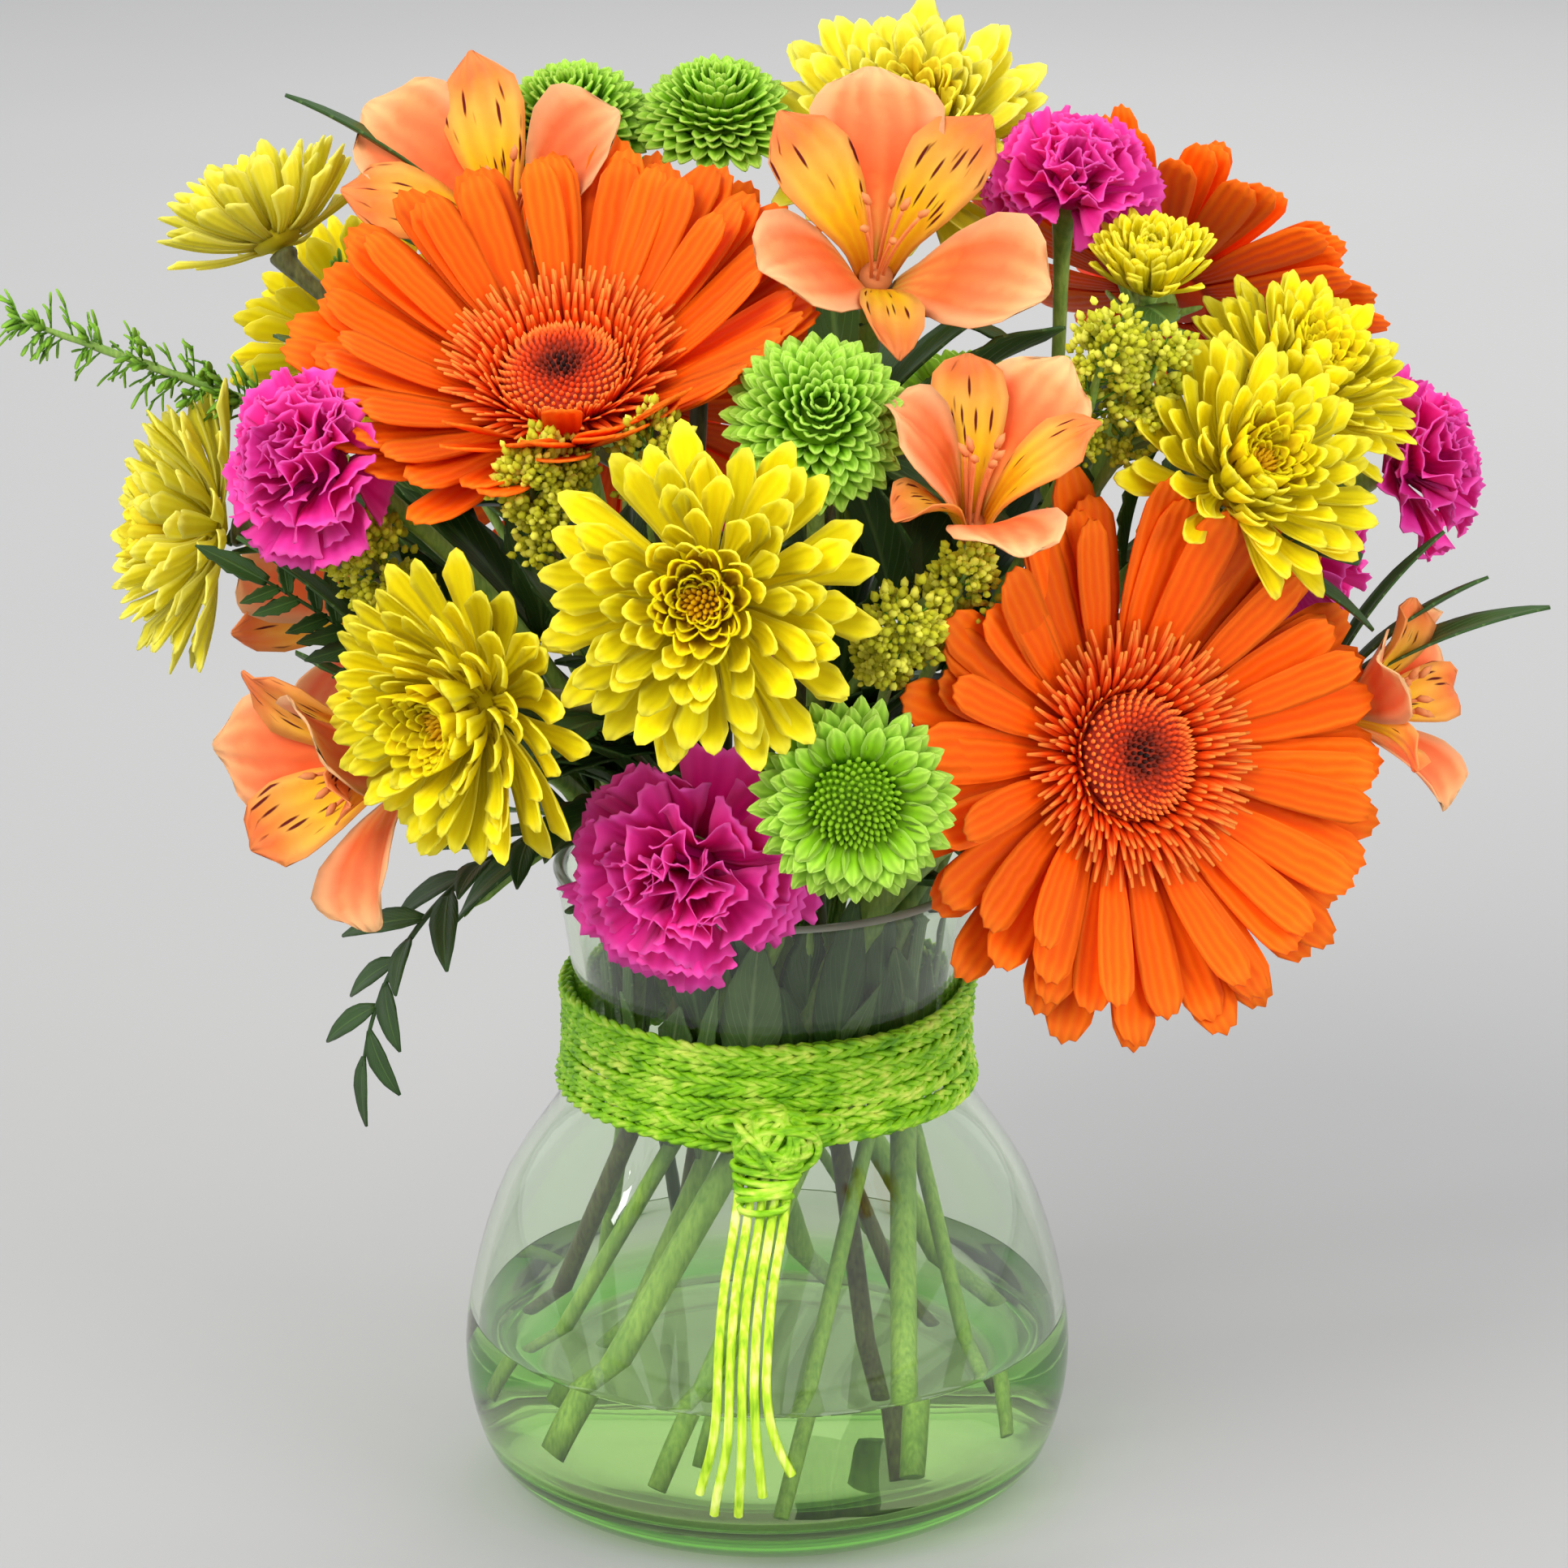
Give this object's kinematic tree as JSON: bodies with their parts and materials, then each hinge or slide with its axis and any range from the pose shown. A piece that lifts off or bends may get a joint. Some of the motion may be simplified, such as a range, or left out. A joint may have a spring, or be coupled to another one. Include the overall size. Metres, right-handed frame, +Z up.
{
  "type": "vase of flowers",
  "caption": "Mixed bouquet of gerberas, spray chrysanthemums, carnations and alstroemerias in a bulged clear glass vase with water and a raffia tie.",
  "frame": {"origin": "centre of the vase's foot, on the surface that it stands on", "axes": "+Z up; the side that the picture shows faces -Y, and +X is to its right"},
  "size_m": [0.3021, 0.2313, 0.3143],
  "materials": {
    "glass": "gloss",
    "water": "gloss",
    "raffia": "matte",
    "eye": "matte",
    "stem": "satin",
    "leaf": "satin",
    "filler": "matte",
    "orange_petal": "matte",
    "yellow_petal": "matte",
    "green_petal": "matte",
    "magenta_petal": "matte",
    "peach_petal": "matte"
  },
  "bodies": {
    "root": {"alstroemeria_back": "peach_petal", "alstroemeria_back_left": "peach_petal", "alstroemeria_front": "peach_petal", "alstroemeria_left": "peach_petal", "alstroemeria_right": "peach_petal", "alstroemeria_stem_left": "stem", "alstroemeria_stem_right": "stem", "alstroemeria_top": "peach_petal", "button_back": "green_petal", "button_daisy": "green_petal", "button_front": "green_petal", "button_stem_back": "stem", "button_stem_front": "stem", "button_top": "green_petal", "button_top_left": "green_petal", "carnation_back": "magenta_petal", "carnation_back_right": "magenta_petal", "carnation_left": "magenta_petal", "carnation_right": "magenta_petal", "carnation_rim": "magenta_petal", "carnation_stem_back": "stem", "carnation_stem_left": "stem", "carnation_stem_right": "stem", "carnation_top": "magenta_petal", "fern": "leaf", "filler_left": "filler", "filler_right": "filler", "filler_spike": "filler", "gerbera_back": "orange_petal", "gerbera_back_eye": "eye", "gerbera_front": "orange_petal", "gerbera_front_eye": "eye", "gerbera_right": "orange_petal", "gerbera_right_eye": "eye", "gerbera_stem_back": "stem", "gerbera_stem_front": "stem", "gerbera_stem_right": "stem", "gerbera_stem_top": "stem", "gerbera_top": "orange_petal", "gerbera_top_eye": "eye", "mum_back_left": "yellow_petal", "mum_centre": "yellow_petal", "mum_far_left": "yellow_petal", "mum_left": "yellow_petal", "mum_right": "yellow_petal", "mum_right_upper": "yellow_petal", "mum_small": "yellow_petal", "mum_stem_back": "stem", "mum_stem_left": "stem", "mum_stem_right": "stem", "mum_top": "yellow_petal", "mum_top_left": "yellow_petal", "tail_1": "raffia", "tail_2": "raffia", "tail_3": "raffia", "tail_4": "raffia", "tail_5": "raffia", "tie": "raffia", "vase": "glass", "water": "water"}
  },
  "joints": []
}
